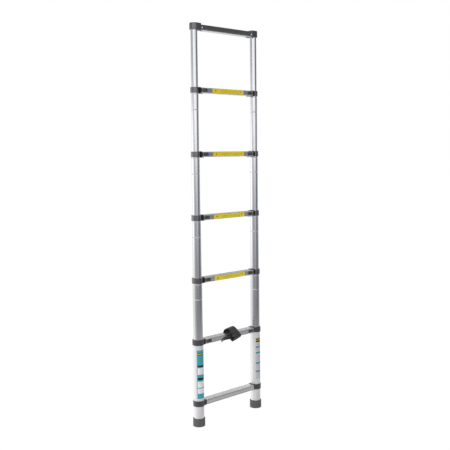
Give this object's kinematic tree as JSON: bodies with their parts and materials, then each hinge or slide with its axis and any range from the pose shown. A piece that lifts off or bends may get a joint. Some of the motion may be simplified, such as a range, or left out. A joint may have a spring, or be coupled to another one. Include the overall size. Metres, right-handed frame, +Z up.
{
  "type": "telescoping ladder",
  "caption": "Straight telescoping ladder whose aluminium tube stages slide into one another, with thumb-slider locks at the rung ends, rubber feet and a hook-and-loop strap.",
  "frame": {"origin": "on the floor, at the centre of the bounding box: midway between the feet, and 14.25 mm in front of the stiles' plane because the strap bulges to the front", "axes": "+X along the rungs from the left stile to the right one as seen from the front, +Y to the back, where the caps lean on a wall, +Z up the ladder; the thumb sliders and the strap face -Y"},
  "size_m": [0.471, 0.0896, 1.985],
  "materials": {
    "anodised_tube": "satin anodised, drawn along the tube",
    "extruded_rung": "mill-finish extrusion with a ribbed tread",
    "dark_moulding": "dark grey moulded nylon, fine texture",
    "slider_plastic": "black moulded plastic",
    "tread_plastic": "near-black ribbed plastic",
    "foot_rubber": "mid-dark grey moulded rubber, matt",
    "pin_steel": "turned and zinc plated",
    "strap_webbing": "black hook-and-loop webbing"
  },
  "bodies": {
    "base": {"tube_1_left": "anodised_tube", "tube_1_right": "anodised_tube", "foot_left": "foot_rubber", "foot_right": "foot_rubber", "bracket_1_left": "dark_moulding", "bracket_1_right": "dark_moulding", "rung_1": "extruded_rung", "collar_2_left": "dark_moulding", "collar_2_right": "dark_moulding", "rung_2": "extruded_rung", "strap": "strap_webbing"},
    "stage_2": {"tube_2_left": "anodised_tube", "tube_2_right": "anodised_tube", "collar_3_left": "dark_moulding", "collar_3_right": "dark_moulding", "rung_3": "extruded_rung"},
    "stage_3": {"tube_3_left": "anodised_tube", "tube_3_right": "anodised_tube", "collar_4_left": "dark_moulding", "collar_4_right": "dark_moulding", "rung_4": "extruded_rung"},
    "stage_4": {"tube_4_left": "anodised_tube", "tube_4_right": "anodised_tube", "collar_5_left": "dark_moulding", "collar_5_right": "dark_moulding", "rung_5": "extruded_rung"},
    "stage_5": {"tube_5_left": "anodised_tube", "tube_5_right": "anodised_tube", "collar_6_left": "dark_moulding", "collar_6_right": "dark_moulding", "rung_6": "extruded_rung"},
    "stage_6": {"tube_6_left": "anodised_tube", "tube_6_right": "anodised_tube", "cap_left": "dark_moulding", "cap_right": "dark_moulding", "rung_7": "extruded_rung", "tread_cover": "tread_plastic"},
    "lock_2_left": {"lock_pin_2_left": "pin_steel", "thumb_slider_2_left": "slider_plastic"},
    "lock_2_right": {"lock_pin_2_right": "pin_steel", "thumb_slider_2_right": "slider_plastic"},
    "lock_3_left": {"lock_pin_3_left": "pin_steel", "thumb_slider_3_left": "slider_plastic"},
    "lock_3_right": {"lock_pin_3_right": "pin_steel", "thumb_slider_3_right": "slider_plastic"},
    "lock_4_left": {"lock_pin_4_left": "pin_steel", "thumb_slider_4_left": "slider_plastic"},
    "lock_4_right": {"lock_pin_4_right": "pin_steel", "thumb_slider_4_right": "slider_plastic"},
    "lock_5_left": {"lock_pin_5_left": "pin_steel", "thumb_slider_5_left": "slider_plastic"},
    "lock_5_right": {"lock_pin_5_right": "pin_steel", "thumb_slider_5_right": "slider_plastic"},
    "lock_6_left": {"lock_pin_6_left": "pin_steel", "thumb_slider_6_left": "slider_plastic"},
    "lock_6_right": {"lock_pin_6_right": "pin_steel", "thumb_slider_6_right": "slider_plastic"}
  },
  "joints": [
    {"name": "stage_2_slide", "type": "slide", "parent": "base", "child": "stage_2", "axis": [0, 0, 1], "range_m": [-0.275, 0], "stiffness_N_per_m": 2, "springref_m": 17.5145, "deforming": ["strap"]},
    {"name": "stage_3_slide", "type": "slide", "parent": "stage_2", "child": "stage_3", "axis": [0, 0, 1], "range_m": [-0.275, 0], "stiffness_N_per_m": 2, "springref_m": 13.681},
    {"name": "stage_4_slide", "type": "slide", "parent": "stage_3", "child": "stage_4", "axis": [0, 0, 1], "range_m": [-0.275, 0], "stiffness_N_per_m": 2, "springref_m": 10.0365},
    {"name": "stage_5_slide", "type": "slide", "parent": "stage_4", "child": "stage_5", "axis": [0, 0, 1], "range_m": [-0.275, 0], "stiffness_N_per_m": 2, "springref_m": 6.58},
    {"name": "stage_6_slide", "type": "slide", "parent": "stage_5", "child": "stage_6", "axis": [0, 0, 1], "range_m": [-0.267, 0], "stiffness_N_per_m": 2, "springref_m": 3.3125},
    {"name": "lock_2_left_slide", "type": "slide", "parent": "base", "child": "lock_2_left", "axis": [-1, 0, 0], "range_m": [0, 0.0078]},
    {"name": "lock_2_right_slide", "type": "slide", "parent": "base", "child": "lock_2_right", "axis": [1, 0, 0], "range_m": [0, 0.0078]},
    {"name": "lock_3_left_slide", "type": "slide", "parent": "stage_2", "child": "lock_3_left", "axis": [-1, 0, 0], "range_m": [0, 0.0078]},
    {"name": "lock_3_right_slide", "type": "slide", "parent": "stage_2", "child": "lock_3_right", "axis": [1, 0, 0], "range_m": [0, 0.0078]},
    {"name": "lock_4_left_slide", "type": "slide", "parent": "stage_3", "child": "lock_4_left", "axis": [-1, 0, 0], "range_m": [0, 0.0078]},
    {"name": "lock_4_right_slide", "type": "slide", "parent": "stage_3", "child": "lock_4_right", "axis": [1, 0, 0], "range_m": [0, 0.0078]},
    {"name": "lock_5_left_slide", "type": "slide", "parent": "stage_4", "child": "lock_5_left", "axis": [-1, 0, 0], "range_m": [0, 0.0078]},
    {"name": "lock_5_right_slide", "type": "slide", "parent": "stage_4", "child": "lock_5_right", "axis": [1, 0, 0], "range_m": [0, 0.0078]},
    {"name": "lock_6_left_slide", "type": "slide", "parent": "stage_5", "child": "lock_6_left", "axis": [-1, 0, 0], "range_m": [0, 0.0078]},
    {"name": "lock_6_right_slide", "type": "slide", "parent": "stage_5", "child": "lock_6_right", "axis": [1, 0, 0], "range_m": [0, 0.0078]}
  ]
}
